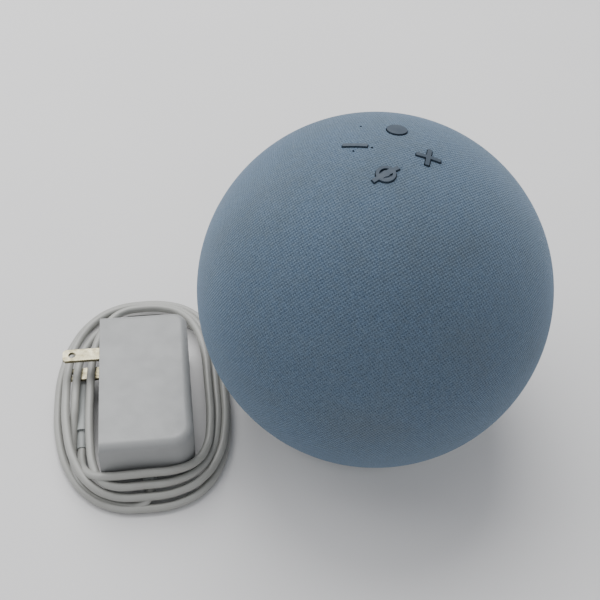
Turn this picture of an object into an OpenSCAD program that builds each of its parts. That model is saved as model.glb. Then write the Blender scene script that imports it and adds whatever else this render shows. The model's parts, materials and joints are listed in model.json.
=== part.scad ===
// Ball-shaped smart speaker with its mains adapter and the adapter's coiled lead.
// The origin is on the table under the middle of the ball, +Z is up and the front faces -Y.

/* [Ball] */
// Diameter over the fabric
ball_d = 144; // [142:1:148]
// Height from the table to the top of the fabric
ball_h = 133; // [132:1:136]
// Thickness of the knitted fabric
fabric_t = 0.8; // [0.5:0.1:1]
// Thickness of the perforated shell under the fabric
grille_t = 2.2; // [1.8:0.1:2.4]
// Thickness of the lower rear shell
rear_t = 2.4; // [2:0.1:2.8]
// Tilt of the seam between fabric and rear shell, rising to the rear, in degrees
seam_tilt = 35; // [30:0.5:38]

/* [Base] */
// Outer radius of the rubber foot
foot_r = 40; // [38:0.5:41]
// Inner radius of the rubber foot
foot_hole_r = 29; // [27:0.5:31]
// Height of the rubber foot
foot_h = 2; // [1.5:0.1:2.5]
// Radius of the hole in the tripod insert
tripod_r = 2.55; // [2.5:0.01:2.6]

/* [Buttons] */
// Distance of each button from the top of the ball
button_ring_r = 13.4; // [13:0.1:14]
// Length of the bars of the volume signs
sign_len = 9.1; // [8.5:0.1:9.5]
// Width of the bars of the volume signs
sign_w = 1.6; // [1.4:0.1:1.8]
// How far a button stands above the fabric
button_proud = 0.6; // [0.3:0.1:0.8]
// How far a button can be pressed
button_travel = 0.5; // [0.3:0.1:0.5]

/* [Speakers] */
// Outer radius of the woofer's flange
woofer_r = 42; // [40:0.5:42]
// Radius of the woofer's cone
cone_r = 29; // [27:0.5:29]
// Angle of each tweeter from the front, in degrees
tweeter_az = 38; // [36:1:40]
// Radius of a tweeter's dome
dome_r = 8.5; // [8:0.1:8.7]

/* [Adapter] */
// Length of the adapter
adapter_l = 72; // [70:1:76]
// Width of the adapter, without its pins
adapter_w = 38; // [36:1:40]
// Thickness of the adapter
adapter_h = 28; // [26:1:30]
// Length of the mains pins outside the case
pin_len = 16; // [15:0.5:17]
// Distance between the mains pins
pin_pitch = 12.7; // [12.5:0.1:12.9]

/* [Lead] */
// Diameter of the adapter's lead
lead_d = 3.5; // [3:0.1:3.6]
// Width of the band of turns
coil_band = 9; // [8:0.5:9]
// Height of the band of turns
coil_h = 6.8; // [6:0.1:6.8]

/* [Hidden] */
$fn = 64;

ball_r = ball_d / 2;
ball_z = ball_h - ball_r;
grille_r = ball_r - fabric_t;
grille_in_r = grille_r - grille_t;
rear_in_r = ball_r - rear_t;
big = 2 * ball_d;
slack = 0.3;

grille_hole_r = 8;
seam_z = 47;
grille_rows = [[-36, 16], [-18, 16], [0, 16], [20, 15], [40, 12], [59, 7]];
fabric_hem_z = 10;
ring_z = 4;
ring_top_z = fabric_hem_z;
plate_top_z = 6;
chassis_z = 10.4;
chassis_t = 2;
chassis_r = 46.4;
chassis_post_ring_r = 30;

screw_r = 1.1;
screw_hole_r = 1.2;
head_r = 2.2;
head_h = 1.6;

board_t = 1.2;
base_screw_ring_r = 35;
base_boss_r = 3.5;
insert_r = 4;
insert_len = 8.5;

carrier_z = 121;
carrier_t = 1.5;
carrier_r = 23;
guide_top_z = 125.5;
stem_r = 1.2;
stem_z = 120.9;
flange_z = 126.4;
flange_t = 1;
flange_r = 3.6;
sign_z = flange_z + flange_t;
disc_top_z = ball_z + sqrt(pow(ball_r + button_proud, 2) - pow(button_ring_r, 2));
pad_w = 3;
dot_r = 3.8;
disc_r = 3.6;
slash_len = 11.2;
slash_angle = 46;
crescent_r = 2.4;
crescent_w = 1;
crescent_depth = 0.6;
button_board_z = 117.4;
button_board_r = 23;
post_ring_r = 17.5;
post_r = 2.6;
post_angles = [45, 225, 315];
mic_spots = [[-13.5, 14.2], [-7.1, -0.5], [-13.4, -3]];
mic_size = [3, 2.6, 1];
mic_shift = -0.9;
mic_seal_r = 1.1;
switch_size = [3.6, 3.6, 1.2];
plunger_r = 0.9;
mic_hole_r = 0.6;

baffle_z = 91;
baffle_t = 2.5;
bowl_r = 62;
bowl_t = 2.5;
bowl_floor_z = 20;
bowl_floor_r = 44;
bowl_waist_r = 58;
bowl_waist_z = 36;
bowl_side_z = 50;
joint_z = 61.5;
seal_t = 1;
rear_wall_y = 38;
boss_angles = [-20, -160, -75, -105, 31, 149];
boss_ring_r = 63.4;
boss_r = 3.4;
boss_h = 6;

flange_bottom_z = baffle_z + 0.8;
basket_t = 2;
woofer_hole_r = 34.5;
woofer_screw_ring_r = 39;
magnet_r = 21;
magnet_z = 58;
magnet_h = 10;
top_plate_z = magnet_z + magnet_h;
top_plate_t = 4;
back_plate_t = 4;
pole_r = 9;
former_r = 10;
gap_r = 10.9;
surround_r = 32.1;
roll_r = 3.3;
roll_t = 0.6;
cone_low_z = 82;
cone_top_z = 93;
spider_z = 79;
leg_w = 5;
leg_profile = [
    [20, 73],
    [23, 73],
    [30.4, 77.6],
    [34, 89],
    [34, 91.9],
    [31.8, 91.9],
    [28.3, 79.8],
    [28.3, 78.8],
    [26.2, 78.8],
    [26.2, 77.6],
    [20, 74]
];

tweeter_z = 45;
tweeter_face = 58.5;
tweeter_body_r = 13;
tweeter_flange_r = 15.6;
tweeter_collar_r = 16;

pocket_w = 32;
pocket_z = 13.5;
pocket_top_z = 31;
panel_y = 54;
panel_t = 1.6;
port_z = 22;
dc_x = -8;
audio_x = 8;
port_board_z = 15;
jack_y = 40;
dc_bore_r = 2.85;
dc_pin_r = 1;
audio_bore_r = 1.8;

adapter_x = -87;
adapter_y = -40.5;
adapter_turn = -70.4;
case_round = 4;
corner_round = 8;
case_wall = 2;
cover_t = 2;
pin_x = -20;
pin_w = 6.35;
pin_t = 1.5;
pin_hole_r = 1.6;
pin_hole_from_tip = 4;
pin_chamfer = 1.1;
pin_root = 6;
relief_z = 5;
relief_r = 3;
relief_end_r = 2.3;
relief_len = 5;
coil_x = -9;
coil_y = -2.75;
coil_l = 119;
coil_w = 77.5;
coil_round = 24;
coil_inner_round = 7;
plug_y = -27.8;
plug_z = 4;
plug_tail_x = 18;
tail_len = 8;
grip_r = 4;
grip_len = 24;
barrel_r = 2.75;
barrel_bore_r = 1.05;
barrel_len = 9.5;
feed_x = 41;
feed_coil_x = 42.5;
feed_coil_z = 4.7;
plug_coil_x = 42;
plug_coil_z = 3.6;

// Routes of the lead's two straight ends, in the adapter's own directions
feed_route = straight_run([feed_x, 0, relief_z], [feed_coil_x, 0, feed_coil_z], 2);
plug_route = straight_run([plug_tail_x, plug_y, plug_z], [plug_coil_x, plug_y, plug_coil_z], 3);

function straight_run(from, to, steps) = [for (i = [0 : steps]) from + (to - from) * i / steps];

// ---- Shared shapes ----

module ball(r) {
    translate([0, 0, ball_z])
        sphere(r = r, $fn = 128);
}

module above_seam() {
    translate([0, 0, seam_z])
        rotate([seam_tilt, 0, 0])
            translate([-big / 2, -big / 2, 0])
                cube([big, big, big]);
}

module slab(z0, z1) {
    translate([-big / 2, -big / 2, z0])
        cube([big, big, z1 - z0]);
}

module block(size, at) {
    translate([at[0] - size[0] / 2, at[1] - size[1] / 2, at[2]])
        cube(size);
}

module rod(r, z0, z1) {
    translate([0, 0, z0])
        cylinder(r = r, h = z1 - z0);
}

module tube(r_out, r_in, z0, z1) {
    difference() {
        rod(r_out, z0, z1);
        rod(r_in, z0 - 1, z1 + 1);
    }
}

module ring_of(count, r, first = 0) {
    for (i = [0 : count - 1])
        rotate([0, 0, first + i * 360 / count])
            translate([r, 0, 0])
                children();
}

module at_posts() {
    for (angle = post_angles)
        rotate([0, 0, angle])
            translate([post_ring_r, 0, 0])
                children();
}

module screw(top_z, length) {
    rod(head_r, top_z, top_z + head_h);
    rod(screw_r, top_z - length, top_z + 0.1);
}

// A flat strip between two points of a plane of constant x
module strip(x, a, b, width, t) {
    run = norm(b - a);
    translate([x, a[0], a[1]])
        rotate([atan2(b[1] - a[1], b[0] - a[0]), 0, 0])
            translate([-width / 2, -t / 2, -t / 2])
                cube([width, run + t, t]);
}

// ---- Signs on the buttons, as flat solids between two heights ----

module bar_sign(grow, z0, z1) {
    block([sign_len + 2 * grow, sign_w + 2 * grow, z1 - z0], [-button_ring_r, 0, z0]);
}

module cross_sign(grow, z0, z1) {
    block([sign_len + 2 * grow, sign_w + 2 * grow, z1 - z0], [button_ring_r, 0, z0]);
    block([sign_w + 2 * grow, sign_len + 2 * grow, z1 - z0], [button_ring_r, 0, z0]);
}

module dot_sign(grow, z0, z1) {
    translate([0, button_ring_r, 0])
        rod(dot_r + grow, z0, z1);
}

module slash(grow, z0, z1) {
    rotate([0, 0, slash_angle])
        block([slash_len + 2 * grow, sign_w + 2 * grow, z1 - z0], [0, 0, z0]);
}

module slashed_sign(grow, z0, z1) {
    translate([0, -button_ring_r, 0]) {
        rod(disc_r + grow, z0, z1);
        slash(grow, z0, z1);
    }
}

module sign_openings() {
    bar_sign(slack, sign_z - 2, ball_h + 1);
    cross_sign(slack, sign_z - 2, ball_h + 1);
    dot_sign(slack, sign_z - 2, ball_h + 1);
    slashed_sign(slack, sign_z - 2, ball_h + 1);
}

module mic_openings(r) {
    for (spot = mic_spots)
        translate([spot[0], spot[1], 0])
            rod(r, button_board_z + board_t, ball_h + 1);
}

// ---- Outside of the ball ----

module fabric_cover() {
    color("#6f8fa8")
        difference() {
            intersection() {
                ball(ball_r);
                above_seam();
                slab(fabric_hem_z, ball_h + 1);
            }
            ball(grille_r);
            sign_openings();
            mic_openings(mic_hole_r - 0.1);
        }
}

// Height above the seam of a point on the ball, square to the seam
function over_seam(rise, turn) =
    let (y = ball_r * cos(rise) * sin(turn), z = ball_z + ball_r * sin(rise))
    (z - seam_z) * cos(seam_tilt) - y * sin(seam_tilt);

module grille_holes() {
    for (row = grille_rows)
        for (i = [0 : row[1] - 1])
            if (over_seam(row[0], i * 360 / row[1]) > grille_hole_r + 3)
                translate([0, 0, ball_z])
                    rotate([0, 0, i * 360 / row[1]])
                        rotate([0, 90 - row[0], 0])
                            cylinder(r = grille_hole_r, h = ball_r, $fn = 6);
}

module grille_shell() {
    color("#2b2f33")
        union() {
            difference() {
                intersection() {
                    ball(grille_r);
                    above_seam();
                    slab(fabric_hem_z, ball_h + 1);
                }
                ball(grille_in_r);
                grille_holes();
                sign_openings();
                mic_openings(mic_hole_r + 0.2);
            }
            intersection() {
                ball(grille_r - 1);
                at_posts()
                    tube(post_r, screw_r, carrier_z + carrier_t, ball_h);
            }
        }
}

module at_port_posts() {
    for (x = [-10, 10])
        translate([x, 30, 0])
            children();
}

module pocket_block(grow) {
    translate([-pocket_w / 2 - grow, panel_y - grow, pocket_z - grow])
        cube([pocket_w + 2 * grow, ball_r, pocket_top_z - pocket_z + 2 * grow]);
}

module rear_shell() {
    color("#5d7487")
        difference() {
            ball(ball_r);
            ball(rear_in_r);
            above_seam();
            slab(-ball_r, fabric_hem_z);
            pocket_block(panel_t);
        }
}

module port_panel() {
    color("#4c6072")
        difference() {
            intersection() {
                ball(ball_r);
                pocket_block(panel_t);
            }
            pocket_block(0);
            translate([dc_x, panel_y, port_z])
                rotate([90, 0, 0])
                    rod(4.7, -1, panel_t + 1);
            translate([audio_x, panel_y, port_z])
                rotate([90, 0, 0])
                    rod(3.7, -1, panel_t + 1);
        }
}

module base_plate() {
    color("#4c6072")
        difference() {
            union() {
                intersection() {
                    ball(ball_r);
                    slab(foot_h, ring_z);
                }
                rod(foot_r, foot_h, plate_top_z);
                rod(insert_r + 3, foot_h, foot_h + insert_len + 1);
            }
            rod(insert_r + 0.05, foot_h - 1, foot_h + insert_len);
            rod(tripod_r + 0.4, foot_h, foot_h + insert_len + 2);
            ring_of(4, base_screw_ring_r, 45) {
                rod(head_r + 0.2, foot_h - 1, foot_h + head_h + 0.1);
                rod(screw_hole_r, foot_h - 1, plate_top_z + 1);
            }
        }
}

module light_ring() {
    color("#dfe6ea")
        difference() {
            intersection() {
                ball(ball_r);
                slab(ring_z, ring_top_z);
            }
            translate([0, 0, ring_z])
                cylinder(r1 = foot_r + 0.3, r2 = 47.2, h = ring_top_z - ring_z);
        }
}

module rubber_foot() {
    color("#3b444b")
        tube(foot_r, foot_hole_r, 0, foot_h);
}

module tripod_insert() {
    color("#c9a765")
        tube(insert_r, tripod_r, foot_h, foot_h + insert_len);
}

module base_chassis() {
    color("#23272a")
        difference() {
            union() {
                rod(chassis_r, chassis_z, chassis_z + chassis_t);
                ring_of(4, base_screw_ring_r, 45)
                    rod(base_boss_r, plate_top_z, chassis_z + 0.1);
                for (angle = [0, 180, 270])
                    rotate([0, 0, angle])
                        translate([chassis_post_ring_r, 0, 0])
                            rod(4, chassis_z + 1, bowl_floor_z);
                at_port_posts()
                    rod(2.4, chassis_z + 1, port_board_z);
            }
            ring_of(4, base_screw_ring_r, 45)
                rod(screw_r, plate_top_z - 1, chassis_z + chassis_t + 1);
            rod(9, chassis_z - 1, chassis_z + chassis_t + 1);
        }
}

module base_screws() {
    color("#8d9194")
        ring_of(4, base_screw_ring_r, 45) {
            rod(head_r, foot_h, foot_h + head_h);
            rod(screw_r, foot_h + head_h - 0.1, chassis_z + 1);
        }
}

module ring_light_board() {
    color("#1e5a3c")
        difference() {
            tube(39.6, 28, 6.8, 6.8 + board_t);
            ring_of(4, base_screw_ring_r, 45)
                rod(base_boss_r + 0.3, plate_top_z, chassis_z);
        }
}

module ring_lights() {
    color("#f3f2e6")
        ring_of(24, 37.9, 7.5)
            block([2, 2, 0.9], [0, 0, 6.8 + board_t]);
}

// ---- Buttons and the parts below them ----

// A round stem below a flange, which the child draws where it isn't round
module button_stem(angle) {
    rotate([0, 0, angle])
        translate([button_ring_r, 0, 0])
            rod(stem_r, stem_z, flange_z + 0.1);
}

module round_flange(angle) {
    rotate([0, 0, angle])
        translate([button_ring_r, 0, 0])
            rod(flange_r, flange_z, flange_z + flange_t);
}

// Trims a button's sign to a ball that stands slightly above the fabric
module proud_top() {
    intersection() {
        ball(ball_r + button_proud);
        children();
    }
}

module action_button() {
    color("#34506a")
        union() {
            button_stem(90);
            round_flange(90);
            proud_top()
                dot_sign(0, sign_z - 0.1, ball_h + 2);
        }
}

module volume_down_button() {
    color("#34506a")
        union() {
            button_stem(180);
            block([sign_len + 1, pad_w, flange_t], [-button_ring_r, 0, flange_z]);
            proud_top()
                bar_sign(0, sign_z - 0.1, ball_h + 2);
        }
}

module volume_up_button() {
    color("#34506a")
        union() {
            button_stem(0);
            round_flange(0);
            proud_top()
                cross_sign(0, sign_z - 0.1, ball_h + 2);
        }
}

// Two crescents, one on each side of the slash
module crescents(floor_z) {
    translate([0, -button_ring_r, 0])
        difference() {
            tube(crescent_r, crescent_r - crescent_w, floor_z, ball_h + 3);
            slash(slack, floor_z - 1, ball_h + 4);
        }
}

// The slashed disc has its crescents sunk into its top
module mic_off_button() {
    color("#34506a")
        union() {
            button_stem(270);
            round_flange(270);
            difference() {
                proud_top()
                    slashed_sign(0, sign_z - 0.1, ball_h + 2);
                crescents(disc_top_z - crescent_depth);
            }
        }
}

module button_carrier() {
    color("#2b2f33")
        difference() {
            union() {
                rod(carrier_r, carrier_z, carrier_z + carrier_t);
                ring_of(4, button_ring_r)
                    rod(stem_r + 1.5, carrier_z, guide_top_z);
            }
            ring_of(4, button_ring_r)
                rod(stem_r + slack, carrier_z - 1, guide_top_z + 1);
            at_posts()
                rod(screw_hole_r, carrier_z - 1, carrier_z + carrier_t + 1);
            mic_openings(mic_seal_r + 0.1);
        }
}

module carrier_screws() {
    color("#8d9194")
        at_posts() {
            rod(head_r, button_board_z - head_h, button_board_z);
            rod(screw_r, button_board_z - 0.1, guide_top_z);
        }
}

module button_board() {
    color("#1e5a3c")
        difference() {
            union() {
                rod(button_board_r, button_board_z, button_board_z + board_t);
                at_posts()
                    rod(2.2, button_board_z, carrier_z);
            }
            at_posts()
                rod(screw_hole_r, button_board_z - 1, carrier_z + 1);
        }
}

module tact_switches() {
    color("#b9bdc0")
        ring_of(4, button_ring_r) {
            block(switch_size, [0, 0, button_board_z + board_t]);
            rod(plunger_r, button_board_z + board_t + switch_size[2] - 0.1, stem_z - button_travel - 0.05);
        }
}

module microphones() {
    color("#c9a765")
        for (spot = mic_spots)
            difference() {
                block(mic_size, [spot[0], spot[1] + mic_shift, button_board_z + board_t]);
                translate([spot[0], spot[1], 0])
                    rod(0.3, button_board_z + board_t + 0.6, carrier_z);
            }
}

module mic_seals() {
    color("#1b1d1f")
        intersection() {
            ball(grille_in_r);
            for (spot = mic_spots)
                translate([spot[0], spot[1], 0])
                    tube(mic_seal_r, mic_hole_r, button_board_z + board_t + mic_size[2], ball_h);
        }
}

module button_ribbon() {
    color("#b5793a")
        union() {
            strip(0, [16, 117.2], [26, 117.2], 8, 0.4);
            strip(0, [26, 117.2], [46.5, 98], 8, 0.4);
            strip(0, [46.5, 98], [52.6, 90], 8, 0.4);
            strip(0, [52.6, 90], [52.6, 82.2], 8, 0.4);
        }
}

// ---- Woofer ----

module woofer_basket() {
    color("#2a2c2e")
        difference() {
            union() {
                tube(woofer_r, cone_r + 2.6, flange_bottom_z, flange_bottom_z + basket_t);
                tube(woofer_hole_r - 0.3, cone_r + 2.6, baffle_z - 4, flange_bottom_z + 0.1);
                tube(23.5, gap_r + 0.4, top_plate_z + top_plate_t, top_plate_z + top_plate_t + 2);
                tube(28, 25.6, spider_z - 1.4, spider_z);
                for (angle = [0 : 60 : 300])
                    rotate([90, 0, angle])
                        translate([0, 0, -leg_w / 2])
                            linear_extrude(height = leg_w)
                                polygon(leg_profile);
            }
            ring_of(4, woofer_screw_ring_r, 45)
                rod(screw_hole_r, flange_bottom_z - 1, flange_bottom_z + basket_t + 1);
        }
}

module woofer_magnet() {
    color("#4a4d50")
        tube(magnet_r, 13, magnet_z, magnet_z + magnet_h);
}

module woofer_top_plate() {
    color("#9a9ea1")
        tube(magnet_r, gap_r, top_plate_z, top_plate_z + top_plate_t);
}

module woofer_back_plate() {
    color("#9a9ea1")
        union() {
            rod(magnet_r, magnet_z - back_plate_t, magnet_z);
            rod(pole_r, magnet_z - 0.1, top_plate_z + top_plate_t + 0.5);
        }
}

module voice_coil_former() {
    color("#d8c79a")
        tube(former_r, former_r - 0.4, magnet_z + 4, cone_low_z + 0.6);
}

module voice_coil_winding() {
    color("#b5651d")
        tube(former_r + 0.5, former_r, top_plate_z - 4, top_plate_z + top_plate_t + 4);
}

// Concentric waves between the voice coil and the basket's ledge
module woofer_spider() {
    wave = 2.4;
    step = (25.6 - former_r) / 6;
    upper = [for (i = [0 : 6]) [former_r + i * step, spider_z + (i % 2 == 0 ? 0 : wave)]];
    lower = [for (i = [6 : -1 : 0]) [former_r + i * step, spider_z + 0.5 + (i % 2 == 0 ? 0 : wave)]];
    color("#c8a24a")
        union() {
            rotate_extrude()
                polygon(concat(upper, lower));
            tube(28, 25.5, spider_z, spider_z + 0.5);
        }
}

module woofer_cone() {
    color("#1d1f21")
        rotate_extrude()
            polygon([
                [former_r, cone_low_z],
                [cone_r, cone_top_z],
                [cone_r, cone_top_z + 0.8],
                [former_r, cone_low_z + 0.9]
            ]);
}

module dust_cap() {
    cap_r = 14;
    sink = sqrt(cap_r * cap_r - 121);
    color("#26292b")
        intersection() {
            translate([0, 0, cone_low_z + 1.6 - sink])
                difference() {
                    sphere(r = cap_r);
                    sphere(r = cap_r - 0.5);
                }
            rod(11, cone_low_z + 1.6, cone_top_z + 4);
        }
}

module woofer_surround() {
    lip_z = flange_bottom_z + basket_t;
    color("#191b1c")
        union() {
            rotate_extrude()
                translate([surround_r, lip_z])
                    difference() {
                        circle(r = roll_r);
                        circle(r = roll_r - roll_t);
                        translate([-2 * roll_r, -4 * roll_r])
                            square([4 * roll_r, 4 * roll_r]);
                    }
            tube(36.6, surround_r + roll_r - roll_t, lip_z, lip_z + 0.6);
        }
}

module woofer_gasket() {
    color("#1b1d1f")
        difference() {
            tube(woofer_r, woofer_hole_r, baffle_z, flange_bottom_z);
            ring_of(4, woofer_screw_ring_r, 45)
                rod(screw_hole_r, baffle_z - 1, flange_bottom_z + 1);
        }
}

module woofer_screws() {
    color("#8d9194")
        ring_of(4, woofer_screw_ring_r, 45)
            screw(flange_bottom_z + basket_t, 7);
}

// ---- Tweeters; each is drawn along +Z and turned to its place ----

module at_tweeter(side) {
    translate([0, 0, tweeter_z])
        rotate([0, 0, side * tweeter_az])
            rotate([90, 0, 0])
                children();
}

module both_tweeters() {
    for (side = [-1, 1])
        at_tweeter(side)
            children();
}

module tweeter_bodies() {
    color("#2a2c2e")
        both_tweeters()
            difference() {
                union() {
                    rod(tweeter_body_r, tweeter_face - 14, tweeter_face + 1.2);
                    rod(tweeter_flange_r, tweeter_face, tweeter_face + 1.2);
                }
                rod(11.2, tweeter_face - 12, tweeter_face + 2);
            }
}

module tweeter_magnets() {
    color("#9a9ea1")
        both_tweeters()
            difference() {
                rod(10.9, tweeter_face - 12, tweeter_face - 5);
                tube(9.2, 7.4, tweeter_face - 10, tweeter_face - 4);
            }
}

module tweeter_dome() {
    curve_r = 10;
    sink = sqrt(curve_r * curve_r - dome_r * dome_r);
    union() {
        intersection() {
            translate([0, 0, tweeter_face - 2.6 - sink])
                difference() {
                    sphere(r = curve_r);
                    sphere(r = curve_r - 0.4);
                }
            rod(dome_r, tweeter_face - 2.6, tweeter_face + 5);
        }
        tube(dome_r, dome_r - 0.4, tweeter_face - 9, tweeter_face - 2.5);
        tube(11, dome_r - 0.1, tweeter_face - 3, tweeter_face - 2.6);
    }
}

module left_tweeter_dome() {
    color("#b9bdc0")
        at_tweeter(-1)
            tweeter_dome();
}

module right_tweeter_dome() {
    color("#b9bdc0")
        at_tweeter(1)
            tweeter_dome();
}

// ---- Sealed enclosure that carries the speakers ----

module bowl_solid(r, wall_y, z0, z1) {
    intersection() {
        ball(r);
        slab(z0, z1);
        translate([-big / 2, wall_y - big, 0])
            cube([big, big, big]);
    }
}

module bowl_hollow() {
    bowl_solid(bowl_r - bowl_t, rear_wall_y - 2, bowl_floor_z + 2, baffle_z - baffle_t);
}

module enclosure_bosses(z0, z1) {
    for (angle = boss_angles)
        rotate([0, 0, angle])
            translate([boss_ring_r, 0, 0])
                rod(boss_r, z0, z1);
}

module enclosure_pilots(r) {
    for (angle = boss_angles)
        rotate([0, 0, angle])
            translate([boss_ring_r, 0, 0])
                rod(r, joint_z - 2 * boss_h, joint_z + 2 * boss_h);
}

module enclosure_baffle() {
    color("#34383b")
        difference() {
            union() {
                bowl_solid(bowl_r, rear_wall_y, joint_z + seal_t, baffle_z);
                enclosure_bosses(joint_z + seal_t, joint_z + seal_t + boss_h);
            }
            bowl_hollow();
            rod(woofer_hole_r, baffle_z - 4, baffle_z + 1);
            ring_of(4, woofer_screw_ring_r, 45)
                rod(screw_r, baffle_z - 4, baffle_z + 1);
            enclosure_pilots(screw_hole_r);
        }
}

// The lower half is turned to a stepped profile and cut flat at the rear
module turned_bowl(shrink) {
    intersection() {
        rotate_extrude($fn = 128)
            polygon([
                [0, bowl_floor_z + shrink],
                [bowl_floor_r - shrink, bowl_floor_z + shrink],
                [bowl_waist_r - shrink, bowl_waist_z],
                [bowl_r - shrink, bowl_side_z],
                [bowl_r - shrink, joint_z + sign(shrink)],
                [0, joint_z + sign(shrink)]
            ]);
        translate([-big / 2, rear_wall_y - shrink - big, 0])
            cube([big, big, big]);
    }
}

module enclosure_bowl() {
    color("#34383b")
        difference() {
            union() {
                difference() {
                    turned_bowl(0);
                    turned_bowl(bowl_t);
                }
                enclosure_bosses(joint_z - boss_h, joint_z);
                both_tweeters()
                    rod(tweeter_collar_r, tweeter_face - 14, tweeter_face);
            }
            both_tweeters()
                rod(tweeter_body_r + 0.2, tweeter_face - 15, ball_r);
            both_tweeters()
                rod(tweeter_collar_r + 1, tweeter_face, ball_r);
            enclosure_pilots(screw_r);
        }
}

module enclosure_seal() {
    color("#1b1d1f")
        difference() {
            bowl_solid(bowl_r - 0.4, rear_wall_y - 0.4, joint_z, joint_z + seal_t);
            bowl_solid(bowl_r - 2, rear_wall_y - 1.6, joint_z - 1, joint_z + seal_t + 1);
        }
}

module enclosure_screws() {
    color("#8d9194")
        for (angle = boss_angles)
            rotate([0, 0, angle])
                translate([boss_ring_r, 0, 0]) {
                    rod(1.9, joint_z + seal_t + boss_h, joint_z + seal_t + boss_h + 1.2);
                    rod(screw_r, joint_z - boss_h + 1, joint_z + seal_t + boss_h + 0.1);
                }
}

// ---- Electronics ----

module heat_sink() {
    fins = [15, 18, 21, 24, 27];
    color("#b4b8bb")
        union() {
            block([60, 3, 50], [0, rear_wall_y + 1.9, 35]);
            block([24, 4.5, 24], [0, rear_wall_y + 5.4, 50]);
            for (side = [-1, 1])
                for (x = fins)
                    block([1.2, 4.6, 46], [side * x, rear_wall_y + 5.5, 37]);
        }
}

module thermal_pad() {
    color("#b8a6c9")
        block([22, 0.8, 22], [0, rear_wall_y + 8.05, 51]);
}

module main_board() {
    color("#1e5a3c")
        union() {
            block([54, board_t, 50], [0, 50.6, 36]);
            block([10, 2, 4], [0, 51.9, 78]);
            block([10, 2, 4], [12, 51.9, 38]);
            block([7, 1.4, 7], [-16, 49.4, 44]);
            block([7, 1.4, 7], [-16, 49.4, 62]);
            block([9, 1.4, 12], [17, 49.4, 56]);
        }
}

module shield_cans() {
    color("#c4c8ca")
        union() {
            block([20, 3.1, 20], [0, 48.45, 52]);
            block([16, 2, 14], [-15, 52.2, 66]);
        }
}

module wifi_antennas() {
    color("#b5793a")
        for (side = [-1, 1])
            block([0.6, 22, 20], [side * 62.6, 4, 56]);
}

module port_board() {
    color("#1e5a3c")
        difference() {
            union() {
                block([26, 22, board_t], [0, 39, port_board_z]);
                block([8, 5, 2.5], [5.5, 35.5, port_board_z + board_t]);
                translate([0, 43.2, 0])
                    rod(2.7, port_board_z + board_t, 26);
                translate([0, 48, 0])
                    rod(1.9, port_board_z + board_t, 24);
            }
            at_port_posts()
                rod(screw_hole_r, port_board_z - 1, port_board_z + 2);
        }
}

module at_port(x) {
    translate([x, 0, port_z])
        rotate([-90, 0, 0])
            children();
}

// The square body of a socket, from its rear to just short of the panel
module jack_body(x, size) {
    translate([x - size[0] / 2, jack_y, port_board_z + board_t])
        cube([size[0], panel_y - panel_t - 1 - jack_y, size[1]]);
}

module dc_jack() {
    color("#17191b")
        union() {
            difference() {
                union() {
                    jack_body(dc_x, [9.4, 11]);
                    at_port(dc_x)
                        rod(4.4, jack_y, panel_y);
                }
                at_port(dc_x)
                    rod(dc_bore_r, jack_y + 2, panel_y + 1);
            }
            at_port(dc_x)
                rod(dc_pin_r, jack_y + 1, panel_y - 2.5);
        }
}

module audio_jack() {
    color("#17191b")
        difference() {
            union() {
                jack_body(audio_x, [7, 9]);
                at_port(audio_x)
                    rod(3.4, jack_y, panel_y);
            }
            at_port(audio_x)
                rod(audio_bore_r, jack_y - 1, panel_y + 1);
        }
}

// ---- Adapter, drawn in its own directions: +X to the lead, -Y to the pins ----

module at_adapter() {
    translate([adapter_x, adapter_y, 0])
        rotate([0, 0, adapter_turn])
            children();
}

// A block with all its edges and corners rounded
module soft_block(l, w, h, r) {
    xs = [-l / 2 + r, l / 2 - r];
    ys = [-w / 2 + r, w / 2 - r];
    zs = [r, h - r];
    union() {
        block([l - 2 * r, w - 2 * r, h], [0, 0, 0]);
        block([l - 2 * r, w, h - 2 * r], [0, 0, r]);
        block([l, w - 2 * r, h - 2 * r], [0, 0, r]);
        for (x = xs)
            for (y = ys)
                translate([x, y, 0])
                    rod(r, r, h - r);
        for (x = xs)
            for (z = zs)
                translate([x, 0, z])
                    rotate([90, 0, 0])
                        rod(r, -w / 2 + r, w / 2 - r);
        for (y = ys)
            for (z = zs)
                translate([0, y, z])
                    rotate([0, 90, 0])
                        rod(r, -l / 2 + r, l / 2 - r);
        for (x = xs)
            for (y = ys)
                for (z = zs)
                    translate([x, y, z])
                        sphere(r = r);
    }
}

// The outer block has sharp edges all round the face that carries the pins
module adapter_block() {
    intersection() {
        translate([0, -case_round, 0])
            soft_block(adapter_l, adapter_w + 2 * case_round, adapter_h, case_round);
        translate([0, -corner_round, 0])
            linear_extrude(height = adapter_h)
                rounded_outline(adapter_l, adapter_w + 2 * corner_round, corner_round);
        beyond_pin_face(0);
    }
}

// Everything on the far side of a plane set in from the face that carries the pins
module beyond_pin_face(depth) {
    translate([-adapter_l, -adapter_w / 2 + depth, -1])
        cube([2 * adapter_l, 2 * adapter_w, adapter_h + 2]);
}

module adapter_case() {
    color("#c3c6c8")
        at_adapter()
            difference() {
                intersection() {
                    adapter_block();
                    beyond_pin_face(cover_t);
                }
                block(
                    [adapter_l - 2 * case_wall, adapter_w - 2 * case_wall, adapter_h - 2 * case_wall],
                    [0, 0, case_wall]
                );
                translate([0, 0, relief_z])
                    rotate([0, 90, 0])
                        rod(relief_end_r, adapter_l / 2 - 5, adapter_l / 2 + 1);
            }
}

module adapter_pin_cover() {
    color("#bcbfc1")
        at_adapter()
            difference() {
                adapter_block();
                beyond_pin_face(cover_t);
                adapter_pin_pair(0.02);
            }
}

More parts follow.
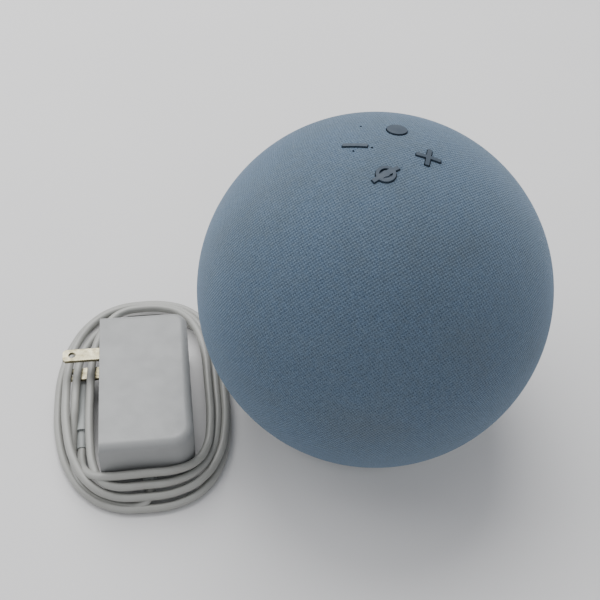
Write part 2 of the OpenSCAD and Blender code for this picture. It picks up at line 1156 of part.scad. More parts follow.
// Two flat pins, one above the other, each with a round hole near its tip
module adapter_pin_pair(grow) {
    tip_y = -adapter_w / 2 - pin_len;
    half_w = pin_w / 2 + grow;
    for (side = [-1, 1])
        translate([pin_x, tip_y, adapter_h / 2 + side * pin_pitch / 2 - pin_t / 2 - grow])
            linear_extrude(height = pin_t + 2 * grow)
                difference() {
                    polygon([
                        [-half_w, pin_len + pin_root],
                        [-half_w, pin_chamfer],
                        [-half_w + pin_chamfer, 0],
                        [half_w - pin_chamfer, 0],
                        [half_w, pin_chamfer],
                        [half_w, pin_len + pin_root]
                    ]);
                    translate([0, pin_hole_from_tip])
                        circle(r = pin_hole_r);
                }
}

module adapter_pins() {
    color("#cdb88a")
        at_adapter()
            adapter_pin_pair(0);
}

module adapter_board() {
    color("#1e5a3c")
        at_adapter()
            union() {
                block([62, 24, board_t], [0, 3.5, 5]);
                translate([24, 8, 0])
                    rod(5, 5 + board_t, 22);
                translate([24, -4, 0])
                    rod(4, 5 + board_t, 18);
                translate([-26, 8, 12])
                    rotate([90, 0, 0])
                        rod(5, 0, 16);
                block([10, 14, 6.2], [-26, 0, 5.1]);
            }
}

module adapter_transformer() {
    color("#d2c65a")
        at_adapter()
            union() {
                block([20, 22, 3], [0, 4, 6.2]);
                block([16, 18, 10], [0, 4, 9.2]);
                block([20, 22, 3], [0, 4, 19.2]);
            }
}

module adapter_strain_relief() {
    color("#b4b7b9")
        at_adapter()
            translate([adapter_l / 2, 0, relief_z])
                rotate([0, 90, 0])
                    union() {
                        cylinder(r1 = relief_r, r2 = relief_end_r, h = relief_len);
                        rod(relief_end_r, -4, 0.1);
                    }
}

// A round tube swept along a route, as rings of points joined by quads
function route_dir(route, i) =
    let (a = route[max(i - 1, 0)], b = route[min(i + 1, len(route) - 1)])
    (b - a) / norm(b - a);

function side_of(dir) =
    let (s = cross(dir, [0, 0.2, 1]))
    s / norm(s);

function ring_points(route, i, r, sides) =
    let (dir = route_dir(route, i), u = side_of(dir), v = cross(dir, u))
    [for (k = [0 : sides - 1]) route[i] + r * (cos(k * 360 / sides) * u + sin(k * 360 / sides) * v)];

module swept_tube(route, r, sides = 8) {
    rings = len(route);
    points = [for (i = [0 : rings - 1]) each ring_points(route, i, r, sides)];
    walls = [
        for (i = [0 : rings - 2])
            for (k = [0 : sides - 1])
                let (near = i * sides, far = near + sides, next = (k + 1) % sides)
                    [near + k, near + next, far + next, far + k]
    ];
    first = [for (k = [sides - 1 : -1 : 0]) k];
    last = [for (k = [0 : sides - 1]) (rings - 1) * sides + k];
    polyhedron(points = points, faces = concat(walls, [first], [last]));
}

module lead_tubes() {
    color("#d9dcdd")
        at_adapter()
            union() {
                swept_tube(feed_route, lead_d / 2);
                swept_tube(plug_route, lead_d / 2);
            }
}

module rounded_outline(l, w, r) {
    union() {
        square([l - 2 * r, w], center = true);
        square([l, w - 2 * r], center = true);
        for (x = [-l / 2 + r, l / 2 - r])
            for (y = [-w / 2 + r, w / 2 - r])
                translate([x, y])
                    circle(r = r);
    }
}

module lead_coil() {
    color("#d9dcdd")
        at_adapter()
            translate([coil_x, coil_y, 0])
                linear_extrude(height = coil_h)
                    difference() {
                        rounded_outline(coil_l, coil_w, coil_round);
                        rounded_outline(coil_l - 2 * coil_band, coil_w - 2 * coil_band, coil_inner_round);
                    }
}

module dc_plug() {
    color("#a9adb0")
        at_adapter()
            translate([plug_tail_x, plug_y, plug_z])
                rotate([0, -90, 0])
                    difference() {
                        union() {
                            cylinder(r1 = 2.2, r2 = 2.9, h = tail_len + 0.1);
                            rod(grip_r, tail_len, tail_len + grip_len);
                            rod(barrel_r, tail_len + grip_len - 0.1, tail_len + grip_len + barrel_len);
                        }
                        rod(barrel_bore_r, tail_len + grip_len + 0.5, tail_len + grip_len + barrel_len + 1);
                    }
}

// ---- Sub-parts, each drawn alone or with all the others ----

fabric_cover();
grille_shell();
rear_shell();
port_panel();
base_plate();
light_ring();
rubber_foot();
tripod_insert();
base_chassis();
base_screws();
ring_light_board();
ring_lights();
action_button();
volume_down_button();
volume_up_button();
mic_off_button();
button_carrier();
carrier_screws();
button_board();
tact_switches();
microphones();
mic_seals();
button_ribbon();
woofer_basket();
woofer_magnet();
woofer_top_plate();
woofer_back_plate();
voice_coil_former();
voice_coil_winding();
woofer_spider();
woofer_cone();
dust_cap();
woofer_surround();
woofer_gasket();
woofer_screws();
tweeter_bodies();
tweeter_magnets();
left_tweeter_dome();
right_tweeter_dome();
enclosure_baffle();
enclosure_bowl();
enclosure_seal();
enclosure_screws();
heat_sink();
thermal_pad();
main_board();
shield_cans();
wifi_antennas();
port_board();
dc_jack();
audio_jack();
adapter_case();
adapter_pin_cover();
adapter_pins();
adapter_board();
adapter_transformer();
adapter_strain_relief();
lead_tubes();
lead_coil();
dc_plug();
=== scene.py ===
import json
import math

import bpy
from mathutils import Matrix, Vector


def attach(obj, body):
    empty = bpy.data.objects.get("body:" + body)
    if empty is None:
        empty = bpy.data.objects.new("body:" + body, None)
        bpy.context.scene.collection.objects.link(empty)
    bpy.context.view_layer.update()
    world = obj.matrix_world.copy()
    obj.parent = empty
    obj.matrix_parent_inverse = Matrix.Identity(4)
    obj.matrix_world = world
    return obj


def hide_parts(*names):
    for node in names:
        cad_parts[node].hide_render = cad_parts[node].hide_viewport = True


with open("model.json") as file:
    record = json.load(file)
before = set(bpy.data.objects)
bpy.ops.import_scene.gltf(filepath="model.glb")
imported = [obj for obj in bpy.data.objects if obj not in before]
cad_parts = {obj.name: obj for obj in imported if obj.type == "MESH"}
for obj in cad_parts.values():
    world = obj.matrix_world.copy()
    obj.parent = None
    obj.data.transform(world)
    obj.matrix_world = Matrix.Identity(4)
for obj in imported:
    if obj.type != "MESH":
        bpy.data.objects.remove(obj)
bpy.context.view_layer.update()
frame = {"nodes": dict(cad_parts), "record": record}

MM = 0.001

# ---- The object's own sizes, in millimetres, as in the CAD model ----

BALL_R = 72
BALL_Z = 61
FABRIC_T = 0.8
SEAM_Z = 47
SEAM_TILT = math.radians(35)
BUTTON_RING_R = 13.4
SIGN_LEN = 9.1
SIGN_W = 1.6
DOT_R = 3.8
DISC_R = 3.6
SLASH_LEN = 11.2
SLASH_ANGLE = math.radians(46)
SLACK = 0.3
MIC_SPOTS = [(-13.5, 14.2), (-7.1, -0.5), (-13.4, -3.0)]
MIC_R = 0.5
ADAPTER_X = -87
ADAPTER_Y = -40.5
ADAPTER_TURN = math.radians(-70.4)
ADAPTER_L = 72
ADAPTER_W = 38
ADAPTER_H = 28
CASE_EDGE_R = 3.6
CASE_CORD_CORNER_R = 9
CASE_FAR_CORNER_R = 6
CASE_LEAST_CORNER_R = 1.5
CASE_PIN_EDGE_INSET = 0.5
CORD_D = 3.5
HEM_R = 0.35


# ---- Small helpers ----

def link(obj):
    bpy.context.scene.collection.objects.link(obj)
    return obj


def mesh_object(name, points, faces, smooth=True):
    mesh = bpy.data.meshes.new(name)
    mesh.from_pydata([tuple(p) for p in points], [], faces)
    mesh.update()
    if smooth:
        mesh.shade_smooth()
    return link(bpy.data.objects.new(name, mesh))


def at_adapter(x, y, z):
    """A point given in the adapter's own directions, in metres in the common frame."""
    c, s = math.cos(ADAPTER_TURN), math.sin(ADAPTER_TURN)
    return Vector((ADAPTER_X + c * x - s * y, ADAPTER_Y + s * x + c * y, z)) * MM


def cut_away(obj, cutters):
    """Subtracts the cutters from a mesh object, and deletes them."""
    for cutter in cutters:
        modifier = obj.modifiers.new("cut", "BOOLEAN")
        modifier.operation = "DIFFERENCE"
        modifier.solver = "EXACT"
        modifier.object = cutter
    bpy.context.view_layer.update()
    depsgraph = bpy.context.evaluated_depsgraph_get()
    mesh = bpy.data.meshes.new_from_object(obj.evaluated_get(depsgraph))
    obj.modifiers.clear()
    obj.data = mesh
    for cutter in cutters:
        bpy.data.objects.remove(cutter)


# ---- Materials ----

SOCKETS = {
    "color": "Base Color",
    "rough": "Roughness",
    "metal": "Metallic",
    "normal": "Normal",
    "specular": "Specular IOR Level",
    "sheen": "Sheen Weight",
    "sheen_rough": "Sheen Roughness",
    "sheen_tint": "Sheen Tint",
    "coat": "Coat Weight",
    "coat_rough": "Coat Roughness",
    "inside": "Subsurface Weight",
}


class Nodes:
    """Short calls that add shader nodes to one material."""

    def __init__(self, name):
        self.material = bpy.data.materials.new(name)
        self.material.use_nodes = True
        self.tree = self.material.node_tree
        self.shader = self.tree.nodes["Principled BSDF"]

    def add(self, kind, **values):
        node = self.tree.nodes.new(kind)
        for key, value in values.items():
            setattr(node, key, value)
        return node

    def join(self, source, target):
        self.tree.links.new(source, target)

    def feed(self, target, value):
        if isinstance(value, bpy.types.NodeSocket):
            self.join(value, target)
        else:
            target.default_value = value

    def math(self, operation, a, b=0.0):
        node = self.add("ShaderNodeMath", operation=operation)
        self.feed(node.inputs[0], a)
        self.feed(node.inputs[1], b)
        return node.outputs[0]

    def dot(self, a, b):
        node = self.add("ShaderNodeVectorMath", operation="DOT_PRODUCT")
        self.feed(node.inputs[0], a)
        self.feed(node.inputs[1], b)
        return node.outputs["Value"]

    def position(self):
        return self.add("ShaderNodeTexCoord").outputs["Object"]

    def noise(self, scale, detail=3.0, roughness=0.55):
        node = self.add("ShaderNodeTexNoise")
        self.join(self.position(), node.inputs["Vector"])
        node.inputs["Scale"].default_value = scale
        node.inputs["Detail"].default_value = detail
        node.inputs["Roughness"].default_value = roughness
        return node.outputs["Fac"]

    def span(self, value, low, high, to_low=0.0, to_high=1.0):
        node = self.add("ShaderNodeMapRange", clamp=True)
        self.feed(node.inputs["Value"], value)
        node.inputs["From Min"].default_value = low
        node.inputs["From Max"].default_value = high
        node.inputs["To Min"].default_value = to_low
        node.inputs["To Max"].default_value = to_high
        return node.outputs["Result"]

    def mix(self, amount, a, b):
        node = self.add("ShaderNodeMix", data_type="RGBA")
        self.feed(node.inputs[0], amount)
        self.feed(node.inputs[6], a)
        self.feed(node.inputs[7], b)
        return node.outputs[2]

    def bump(self, height, distance, strength):
        node = self.add("ShaderNodeBump")
        node.inputs["Strength"].default_value = strength
        node.inputs["Distance"].default_value = distance
        self.join(height, node.inputs["Height"])
        return node.outputs["Normal"]

    def set(self, **values):
        """Feeds the surface's sockets with values or node outputs, and gives the material."""
        for key, value in values.items():
            self.feed(self.shader.inputs[SOCKETS[key]], value)
        return self.material


def shade(color, factor):
    """The same colour, lighter or darker."""
    return tuple(min(1.0, c * factor) for c in color[:3]) + (1.0,)


def rgb(code):
    """A linear colour from an sRGB hex code."""
    parts = [int(code[i:i + 2], 16) / 255 for i in (1, 3, 5)]
    return tuple(c / 12.92 if c < 0.04045 else ((c + 0.055) / 1.055) ** 2.4 for c in parts) + (1.0,)


def plastic(name, code, rough, grain=0.00004, grain_scale=2600.0, coat=0.0, wear=0.08):
    """Moulded plastic: fine grain, slow colour drift, and gloss that varies with handling."""
    n = Nodes(name)
    color = rgb(code)
    drift = n.span(n.noise(38.0), 0.3, 0.7)
    base = n.mix(drift, shade(color, 1 - wear), shade(color, 1 + wear))
    rub = n.span(n.noise(140.0, 4.0), 0.35, 0.75, rough - 0.07, rough + 0.08)
    normal = n.bump(n.noise(grain_scale, 2.0), grain, 0.5)
    return n.set(color=base, rough=rub, normal=normal, coat=coat, coat_rough=0.3)


def metal(name, code, rough, scratch=0.00003):
    """Bare or plated metal with fine scratches and slightly dulled patches."""
    n = Nodes(name)
    color = rgb(code)
    patches = n.span(n.noise(160.0, 5.0), 0.35, 0.7)
    base = n.mix(patches, shade(color, 0.82), shade(color, 1.05))
    dull = n.span(n.noise(420.0, 3.0), 0.3, 0.7, rough - 0.08, rough + 0.12)
    normal = n.bump(n.noise(3200.0, 2.0), scratch, 0.4)
    return n.set(color=base, rough=dull, metal=1.0, normal=normal)


def circuit_board(name):
    """Green solder mask with faint copper tracks below it."""
    n = Nodes(name)
    tracks = n.add("ShaderNodeTexBrick")
    n.join(n.position(), tracks.inputs["Vector"])
    tracks.inputs["Scale"].default_value = 420.0
    tracks.inputs["Mortar Size"].default_value = 0.08
    lines = n.span(tracks.outputs["Fac"], 0.0, 1.0)
    patch = n.span(n.noise(180.0), 0.45, 0.55)
    amount = n.math("MULTIPLY", lines, patch)
    base = n.mix(amount, rgb("#17502f"), rgb("#3f8352"))
    return n.set(color=base, rough=0.32, coat=0.4, coat_rough=0.15, normal=n.bump(lines, 0.00003, 0.4))


def spun(name, code, rough, rib_scale):
    """Cloth or winding: fine parallel ribs round the vertical axis, with painted shade in the grooves and
    painted highlight on the crests.
    """
    n = Nodes(name)
    color = rgb(code)
    wave = n.add("ShaderNodeTexWave", bands_direction="Z")
    n.join(n.position(), wave.inputs["Vector"])
    wave.inputs["Scale"].default_value = rib_scale
    wave.inputs["Distortion"].default_value = 0.4
    # Painted shade and highlight: a darker copy of the colour in the grooves and a lighter one on the crests,
    # following the same wave as the bump.
    base = n.mix(wave.outputs["Fac"], shade(color, 0.75), shade(color, 1.1))
    return n.set(color=base, rough=rough, normal=n.bump(wave.outputs["Fac"], 0.00008, 0.6))


# The weave runs evenly about this direction: its elevation and azimuth, the turn of the
# threads about it, and the spacing of the two sets of threads in millimetres
WEAVE_CENTRE = (41.3, -12.0)
WEAVE_TURN = 49.8
WEAVE_PITCH = (1.011, 1.048)
WEAVE_WOBBLE = 0.0004
SHEEN_TINT = (0.55, 0.75, 1.0, 1.0)


def weave_axes():
    """The direction that the knit is centred on, and its two thread directions there."""
    el, az = (math.radians(a) for a in WEAVE_CENTRE)
    turn = math.radians(WEAVE_TURN)
    n = Vector((math.sin(az) * math.cos(el), -math.cos(az) * math.cos(el), math.sin(el)))
    h = Vector((math.cos(az), math.sin(az), 0))
    v = n.cross(h)
    a = math.cos(turn) * h + math.sin(turn) * v
    b = -math.sin(turn) * h + math.cos(turn) * v
    return n, a, b


def knit():
    """Blue-grey knit: two crossing sets of threads, with small dark holes between them."""
    n = Nodes("knit")
    centre, along, across = weave_axes()
    place = n.add("ShaderNodeVectorMath", operation="SUBTRACT")
    n.join(n.position(), place.inputs[0])
    place.inputs[1].default_value = (0, 0, BALL_Z * MM)
    warp = n.add("ShaderNodeTexNoise")
    n.join(n.position(), warp.inputs["Vector"])
    warp.inputs["Scale"].default_value = 260.0
    warp.inputs["Detail"].default_value = 2.0
    shift = n.add("ShaderNodeVectorMath", operation="MULTIPLY_ADD")
    n.join(warp.outputs["Color"], shift.inputs[0])
    shift.inputs[1].default_value = (WEAVE_WOBBLE, WEAVE_WOBBLE, WEAVE_WOBBLE)
    n.join(place.outputs[0], shift.inputs[2])
    unit = n.add("ShaderNodeVectorMath", operation="NORMALIZE")
    n.join(shift.outputs[0], unit.inputs[0])
    cosine = n.dot(unit.outputs[0], tuple(centre))
    spread = n.math("SQRT", n.math("MAXIMUM", n.math("MULTIPLY", n.math("ADD", cosine, 1.0), 0.5), 0.05))
    threads = []
    for direction, pitch in zip((along, across), WEAVE_PITCH):
        place_along = n.math("DIVIDE", n.dot(unit.outputs[0], tuple(direction)), spread)
        phase = n.math("MULTIPLY", place_along, 2 * math.pi * BALL_R / pitch)
        wave = n.math("MULTIPLY_ADD", n.math("COSINE", phase), 0.5)
        wave.node.inputs[2].default_value = 0.5
        threads.append(wave)
    hole = n.math("MULTIPLY", threads[0], threads[1])
    dark = n.span(hole, 0.12, 0.62)
    ridge = n.span(n.math("ADD", threads[0], threads[1]), 0.0, 1.4, 1.0, 0.0)
    fibres = n.span(n.noise(2400.0, 3.0), 0.3, 0.7, 0.0, 1.0)
    thread = n.mix(fibres, rgb("#3a4b5e"), rgb("#627486"))
    streaks = n.span(n.noise(520.0, 2.0), 0.35, 0.7)
    thread = n.mix(n.math("MULTIPLY", streaks, 0.35), thread, rgb("#545f66"))
    stains = n.span(n.noise(26.0, 5.0, 0.6), 0.48, 0.72)
    thread = n.mix(n.math("MULTIPLY", stains, 0.30), thread, rgb("#4a4f49"))
    patches = n.span(n.noise(11.0, 4.0), 0.4, 0.75)
    thread = n.mix(n.math("MULTIPLY", patches, 0.22), thread, rgb("#74818a"))
    uneven = n.span(n.noise(900.0, 2.0), 0.3, 0.7, 0.15, 0.7)
    base = n.mix(n.math("MULTIPLY", dark, uneven), thread, rgb("#1d2a39"))
    height = n.math("MULTIPLY_ADD", fibres, 0.15)
    n.join(ridge, height.node.inputs[2])
    normal = n.bump(height, 0.00026, 0.7)
    return n.set(color=base, rough=0.86, normal=normal, specular=0.25,
                 sheen=0.3, sheen_rough=0.4, sheen_tint=SHEEN_TINT)


def diffuser():
    """Milky plastic that lets some light in, for the ring of light."""
    n = Nodes("diffuser")
    cloudy = n.span(n.noise(60.0), 0.3, 0.7)
    base = n.mix(cloudy, rgb("#cfd8dd"), rgb("#e6ecef"))
    normal = n.bump(n.noise(1800.0), 0.00003, 0.4)
    return n.set(color=base, rough=0.42, normal=normal, inside=0.25, coat=0.15, coat_rough=0.3)


def cord_skin():
    """Smooth pale grey cord, a little grimy in places."""
    n = Nodes("cord_skin")
    grime = n.span(n.noise(55.0, 4.0), 0.45, 0.75)
    base = n.mix(n.math("MULTIPLY", grime, 0.5), rgb("#94948f"), rgb("#807f79"))
    normal = n.bump(n.noise(1500.0, 2.0), 0.00003, 0.4)
    return n.set(color=base, rough=0.42, normal=normal, coat=0.1, coat_rough=0.35)


def pin_metal():
    """Plated mains pins, worn to a warm tone, with rubbed streaks."""
    n = Nodes("pin_metal")
    rub = n.span(n.noise(300.0, 4.0), 0.35, 0.65)
    base = n.mix(rub, rgb("#777059"), rgb("#9c967f"))
    return n.set(color=base, rough=n.span(n.noise(700.0), 0.3, 0.7, 0.22, 0.45), metal=1.0,
                 normal=n.bump(n.noise(2500.0), 0.00003, 0.5))


MATERIALS = {
    "knit": knit(),
    "shell": plastic("shell", "#495e71", 0.52),
    "button": plastic("button", "#1f303f", 0.65, wear=0.12),
    "dark_plastic": plastic("dark_plastic", "#2b2f33", 0.55),
    "black_plastic": plastic("black_plastic", "#17191b", 0.45),
    "diffuser": diffuser(),
    "foot_rubber": plastic("foot_rubber", "#3b444b", 0.82, 0.00008, 1800.0),
    "foam": plastic("foam", "#1b1d1f", 0.9, 0.0002, 900.0),
    "brass": metal("brass", "#c9a765", 0.28),
    "screw_steel": metal("screw_steel", "#8d9194", 0.35),
    "plate_steel": metal("plate_steel", "#9a9ea1", 0.3),
    "magnet": plastic("magnet", "#4a4d50", 0.5, 0.00006, 1200.0),
    "board": circuit_board("board"),
    "tinned": metal("tinned", "#c4c8ca", 0.3),
    "copper": spun("copper", "#b5651d", 0.3, 900.0),
    "amber_film": plastic("amber_film", "#b5793a", 0.3, coat=0.4),
    "former_paper": plastic("former_paper", "#d8c79a", 0.5),
    "spider_cloth": spun("spider_cloth", "#c8a24a", 0.8, 1400.0),
    "cone": plastic("cone", "#1d1f21", 0.75, 0.00012, 700.0, wear=0.15),
    "basket": plastic("basket", "#2a2c2e", 0.4, coat=0.2),
    "surround": plastic("surround", "#191b1c", 0.6),
    "dome": metal("dome", "#b9bdc0", 0.35),
    "heat_sink": metal("heat_sink", "#b4b8bb", 0.45, 0.00006),
    "pad": plastic("pad", "#b8a6c9", 0.7),
    "lamp": plastic("lamp", "#f3f2e6", 0.25, coat=0.3),
    "adapter_plastic": plastic("adapter_plastic", "#8a8b8a", 0.44, 0.00003, 2200.0, wear=0.035),
    "cord": cord_skin(),
    "pin_metal": pin_metal(),
    "tape": plastic("tape", "#d2c65a", 0.3, coat=0.4),
    "plug_plastic": plastic("plug_plastic", "#8f9290", 0.5),
}


def paint(obj, slot):
    """Gives a piece its material."""
    obj.data.materials.clear()
    obj.data.materials.append(MATERIALS[slot])


slots = {part["node"]: part["material_slot"] for part in frame["record"]["subparts"]}
for node, obj in frame["nodes"].items():
    obj.data.materials.clear()
    obj.data.materials.append(MATERIALS[slots[node]])


# ---- Camera, at the height and side from which the object was seen ----

# Where the camera stands, which way its back points, and which way is right in the picture
CAMERA_AT = (0.019996, -0.290926, 0.351505)
CAMERA_BACK = Vector((0.118293, -0.686327, 0.717609))
CAMERA_RIGHT = Vector((0.976522, 0.211433, 0.041243))

camera_data = bpy.data.cameras.new("camera")
camera_data.sensor_width = 36.0
camera_data.lens = 60.0
camera = link(bpy.data.objects.new("camera", camera_data))
right = (CAMERA_RIGHT - CAMERA_RIGHT.dot(CAMERA_BACK) * CAMERA_BACK).normalized()
up = CAMERA_BACK.cross(right)
for i in range(3):
    camera.matrix_world[i][0] = right[i]
    camera.matrix_world[i][1] = up[i]
    camera.matrix_world[i][2] = CAMERA_BACK[i]
    camera.matrix_world[i][3] = CAMERA_AT[i]
bpy.context.scene.camera = camera


# ---- The adapter's lead ----

# The coil's middle in the adapter's own directions, and the points in each quarter turn
COIL_X = -9
COIL_Y = -2.5
STEPS = 5
# Each turn's left, far, right and near side: how far out it lies, its height, and how
# square the corner after it is. The left sides pass over the lower mains pin and the plug.
TURNS = [
    [(-30.4, 10.4, 2.2), (-57.0, 1.8, 2.7), (34.0, 1.8, 2.8), (47.8, 1.8, 2.4)],
    [(-38.8, 1.8, 2.2), (-66.0, 1.8, 2.7), (33.4, 5.3, 2.8), (44.8, 5.8, 2.8)],
    [(-34.4, 10.4, 2.2), (-62.4, 4.6, 2.8), (30.0, 5.2, 2.9), (41.9, 9.8, 4.6)],
    [(-24.2, 10.6, 2.3), (-59.2, 6.4, 3.0), (26.6, 8.6, 3.6), (39.3, 14.2, 3.0)],
]
# From the strain relief to the first turn, and from the last turn to the plug
FEED = [
    (41, 0, 5), (43.2, -0.2, 4.7), (45.6, -1.8, 3.6), (46.4, -5.5, 2.2), (45.6, -11, 1.8),
    (42, -20, 1.8), (34, -28, 1.9), (22, -31.4, 3), (8, -31.2, 7.6), (0, -30.6, 10),
]
TAIL = [
    (39.3, -8, 14), (38.6, -15, 13), (36.2, -21.5, 10.8), (31, -26, 7.8), (24.5, -27.7, 5), (18, -27.8, 4),
]


def coil_points():
    """The turns, as quarters from one side to the next; odd quarters start on a far or near side."""
    sides = [side for turn in TURNS for side in turn]
    points = []
    for i in range(len(sides) - 1):
        start, z0, square = sides[i]
        end, z1, _ = sides[i + 1]
        for k in range(STEPS):
            f = k / STEPS
            swing = f * math.pi / 2
            leaving = math.cos(swing) ** (2 / square)
            coming = math.sin(swing) ** (2 / square)
            ease = f * f * (3 - 2 * f)
            out_x, out_y = (end, start) if i % 2 == 0 else (start, end)
            part_x, part_y = (coming, leaving) if i % 2 == 0 else (leaving, coming)
            x = COIL_X + (out_x - COIL_X) * part_x
            y = COIL_Y + (out_y - COIL_Y) * part_y
            points.append((x, y, z0 + (z1 - z0) * ease))
    last, z, _ = sides[-1]
    return points + [(last, COIL_Y, z)]


def smooth_curve(name, points, radius):
    """A round cord on one smooth curve through all the points."""
    curve = bpy.data.curves.new(name, "CURVE")
    curve.dimensions = "3D"
    curve.bevel_depth = radius
    curve.bevel_resolution = 5
    curve.resolution_u = 8
    curve.use_fill_caps = True
    spline = curve.splines.new("BEZIER")
    spline.bezier_points.add(len(points) - 1)
    for knot, point in zip(spline.bezier_points, points):
        knot.co = point
        knot.handle_left_type = "AUTO"
        knot.handle_right_type = "AUTO"
    return link(bpy.data.objects.new(name, curve))


route = [at_adapter(*p) for p in FEED + coil_points() + TAIL]
lead = smooth_curve("adapter_lead", route, CORD_D / 2 * MM)
paint(lead, "cord")
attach(lead, "speaker")
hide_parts("lead_coil", "lead_tubes")


# ---- The knitted cover ----

def seam_frame():
    """The direction that the fabric cap faces, and two directions along its seam."""
    axis = Vector((0, -math.sin(SEAM_TILT), math.cos(SEAM_TILT)))
    side = Vector((1, 0, 0))
    return axis, side, axis.cross(side)


def knit_cover():
    """A thin closed shell: the outer skin, a rolled hem at the seam, and the inner skin."""
    axis, side, other = seam_frame()
    drop = (BALL_Z - SEAM_Z) * math.cos(SEAM_TILT)
    rings, around = 150, 300
    profile = []
    reach = math.pi / 2 + math.asin(drop / BALL_R)
    hem = HEM_R / BALL_R
    for i in range(1, rings + 1):
        profile.append((BALL_R, (reach - hem) * i / rings))
    for k in (0.25, 0.5, 0.75, 1.0):
        turn = k * math.pi / 2
        profile.append((BALL_R - HEM_R * (1 - math.cos(turn)), reach - hem + hem * math.sin(turn)))
    inner = BALL_R - FABRIC_T
    for i in range(rings, 0, -1):
        profile.append((inner, (reach - 0.05 / BALL_R) * i / rings))
    centre = Vector((0, 0, BALL_Z))
    points = [centre + axis * BALL_R]
    for r, polar in profile:
        for j in range(around):
            turn = 2 * math.pi * j / around
            spoke = side * math.cos(turn) + other * math.sin(turn)
            points.append(centre + (axis * math.cos(polar) + spoke * math.sin(polar)) * r)
    points.append(centre + axis * inner)
    faces = [(0, 1 + j, 1 + (j + 1) % around) for j in range(around)]
    for i in range(len(profile) - 1):
        a, b = 1 + i * around, 1 + (i + 1) * around
        for j in range(around):
            k = (j + 1) % around
            faces.append((a + j, b + j, b + k, a + k))
    a, last = 1 + (len(profile) - 1) * around, len(points) - 1
    faces += [(a + (j + 1) % around, a + j, last) for j in range(around)]
    return mesh_object("fabric_skin", [p * MM for p in points], faces)


def prism(outline, z0, z1):
    """An upright solid with the given outline, used as a cutter."""
    count = len(outline)
    points = [(x * MM, y * MM, z * MM) for z in (z0, z1) for x, y in outline]
    faces = [tuple(reversed(range(count))), tuple(range(count, 2 * count))]
    faces += [(k, (k + 1) % count, count + (k + 1) % count, count + k) for k in range(count)]
    return mesh_object("cutter", points, faces, smooth=False)


def round_bar(x, y, length, width, corner, turn=0.0):
    """A rectangle with rounded corners, turned about its middle."""
    outline = []
    for cx, cy, start in ((1, 1, 0), (-1, 1, 90), (-1, -1, 180), (1, -1, 270)):
        for k in range(5):
            a = math.radians(start + 22.5 * k)
            px = cx * (length / 2 - corner) + corner * math.cos(a)
            py = cy * (width / 2 - corner) + corner * math.sin(a)
            outline.append((px, py))
    c, s = math.cos(turn), math.sin(turn)
    return [(x + c * px - s * py, y + s * px + c * py) for px, py in outline]


def disc(x, y, r, count=48):
    return [(x + r * math.cos(2 * math.pi * k / count), y + r * math.sin(2 * math.pi * k / count))
            for k in range(count)]


def sign_cutters():
    """Solids that cut the four buttons' openings and the microphone holes."""
    low, high = BALL_Z + BALL_R - 8, BALL_Z + BALL_R + 3
    wide, long = SIGN_W + 2 * SLACK, SIGN_LEN + 2 * SLACK
    outlines = [
        round_bar(-BUTTON_RING_R, 0, long, wide, 0.4),
        round_bar(BUTTON_RING_R, 0, long, wide, 0.4),
        round_bar(BUTTON_RING_R, 0, wide, long, 0.4),
        disc(0, BUTTON_RING_R, DOT_R + SLACK),
        disc(0, -BUTTON_RING_R, DISC_R + SLACK),
        round_bar(0, -BUTTON_RING_R, SLASH_LEN + 2 * SLACK, wide, 0.4, SLASH_ANGLE),
    ]
    outlines += [disc(x, y, MIC_R, 20) for x, y in MIC_SPOTS]
    return [prism(outline, low, high) for outline in outlines]


def ball_normals(obj):
    """Shades the skin as a true ball, and leaves the cut edges crisp."""
    mesh = obj.data
    centre = Vector((0, 0, BALL_Z * MM))
    mesh.shade_smooth()
    normals = []
    for face in mesh.polygons:
        for k in face.loop_indices:
            out = (mesh.vertices[mesh.loops[k].vertex_index].co - centre).normalized()
            facing = face.normal.dot(out)
            normals.append(out if facing > 0.9 else -out if facing < -0.9 else face.normal.copy())
    mesh.normals_split_custom_set(normals)


cover = knit_cover()
cut_away(cover, sign_cutters())
ball_normals(cover)
paint(cover, "knit")
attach(cover, "speaker")
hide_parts("fabric_cover")


# ---- The adapter's case, with soft edges away from its pins ----

def adapter_outline(inset):
    """The case's outline in plan: sharp corners on the pin side, round ones on the other."""
    x0, x1 = -ADAPTER_L / 2 + inset, ADAPTER_L / 2 - inset
    y0, y1 = -ADAPTER_W / 2 + min(inset, CASE_PIN_EDGE_INSET), ADAPTER_W / 2 - inset
    r_near = max(CASE_CORD_CORNER_R - inset, CASE_LEAST_CORNER_R)
    r_far = max(CASE_FAR_CORNER_R - inset, CASE_LEAST_CORNER_R)
    points = []
    for k in range(9):
        a = math.radians(11.25 * k)
        points.append((x1 - r_near + r_near * math.cos(a), y1 - r_near + r_near * math.sin(a)))
    for k in range(9):
        a = math.radians(90 + 11.25 * k)
        points.append((x0 + r_far + r_far * math.cos(a), y1 - r_far + r_far * math.sin(a)))
    steps = 6
    points += [(x0 + (x1 - x0) * k / steps, y0) for k in range(steps + 1)]
    return points


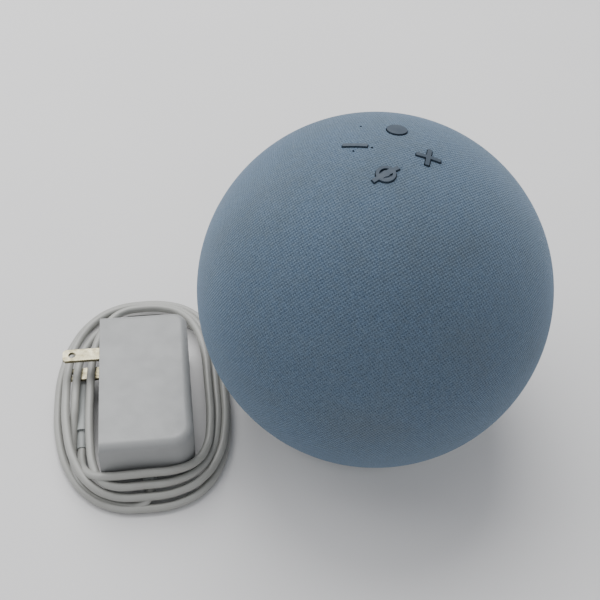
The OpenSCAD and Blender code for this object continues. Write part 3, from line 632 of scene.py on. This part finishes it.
def adapter_body():
    """The closed case, lofted from its underside to its top with rounded edges."""
    levels = []
    for k in range(9):
        a = math.radians(11.25 * k)
        levels.append((CASE_EDGE_R * (1 - math.sin(a)), CASE_EDGE_R * (1 - math.cos(a))))
    profile = [(inset, z) for inset, z in levels]
    profile += [(inset, ADAPTER_H - z) for inset, z in reversed(levels)]
    rows = [[at_adapter(x, y, z) for x, y in adapter_outline(inset)] for inset, z in profile]
    count = len(rows[0])
    points = [p for row in rows for p in row]
    faces = [tuple(reversed(range(count)))]
    for i in range(len(rows) - 1):
        for k in range(count):
            n = (k + 1) % count
            faces.append((i * count + k, i * count + n, (i + 1) * count + n, (i + 1) * count + k))
    top = (len(rows) - 1) * count
    faces.append(tuple(range(top, top + count)))
    body = mesh_object("adapter_body", points, faces)
    body.data.set_sharp_from_angle(angle=math.radians(35))
    return body


case = adapter_body()
paint(case, "adapter_plastic")
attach(case, "speaker")
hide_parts("adapter_case", "adapter_pin_cover")


# ---- Floor and lights ----

FLOOR_REACH = 12
FLOOR_Z = -0.0002
floor_corners = [(x * FLOOR_REACH, y * FLOOR_REACH, FLOOR_Z) for x, y in ((-1, -1), (1, -1), (1, 1), (-1, 1))]
floor = mesh_object("floor", floor_corners, [(0, 1, 2, 3)], smooth=False)
floor_nodes = Nodes("floor")
floor_drift = floor_nodes.span(floor_nodes.noise(3.0), 0.3, 0.7)
floor_tone = floor_nodes.mix(floor_drift, rgb("#c9c8c7"), rgb("#cfcecd"))
floor.data.materials.append(floor_nodes.set(color=floor_tone, rough=0.6, specular=0.3))


def area_light(name, place, size, power):
    """A round softbox that faces the ball."""
    data = bpy.data.lights.new(name, "AREA")
    data.shape = "DISK"
    data.size = size
    data.energy = power
    lamp = link(bpy.data.objects.new(name, data))
    lamp.location = place
    lamp.rotation_euler = (LIT_POINT - Vector(place)).to_track_quat("-Z", "Y").to_euler()


LIT_POINT = Vector((0, 0, 0.05))
area_light("key", (-0.3, 0.8, 1.2), 1.3, 25.0)
area_light("fill", (-0.95, 0.1, 0.9), 1.1, 8.0)
area_light("front", (0.5, -1.1, 0.9), 1.0, 1.5)

world = bpy.data.worlds.new("studio")
world.use_nodes = True
world.node_tree.nodes["Background"].inputs[0].default_value = (0.93, 0.95, 1.0, 1.0)
world.node_tree.nodes["Background"].inputs[1].default_value = 0.8
bpy.context.scene.world = world
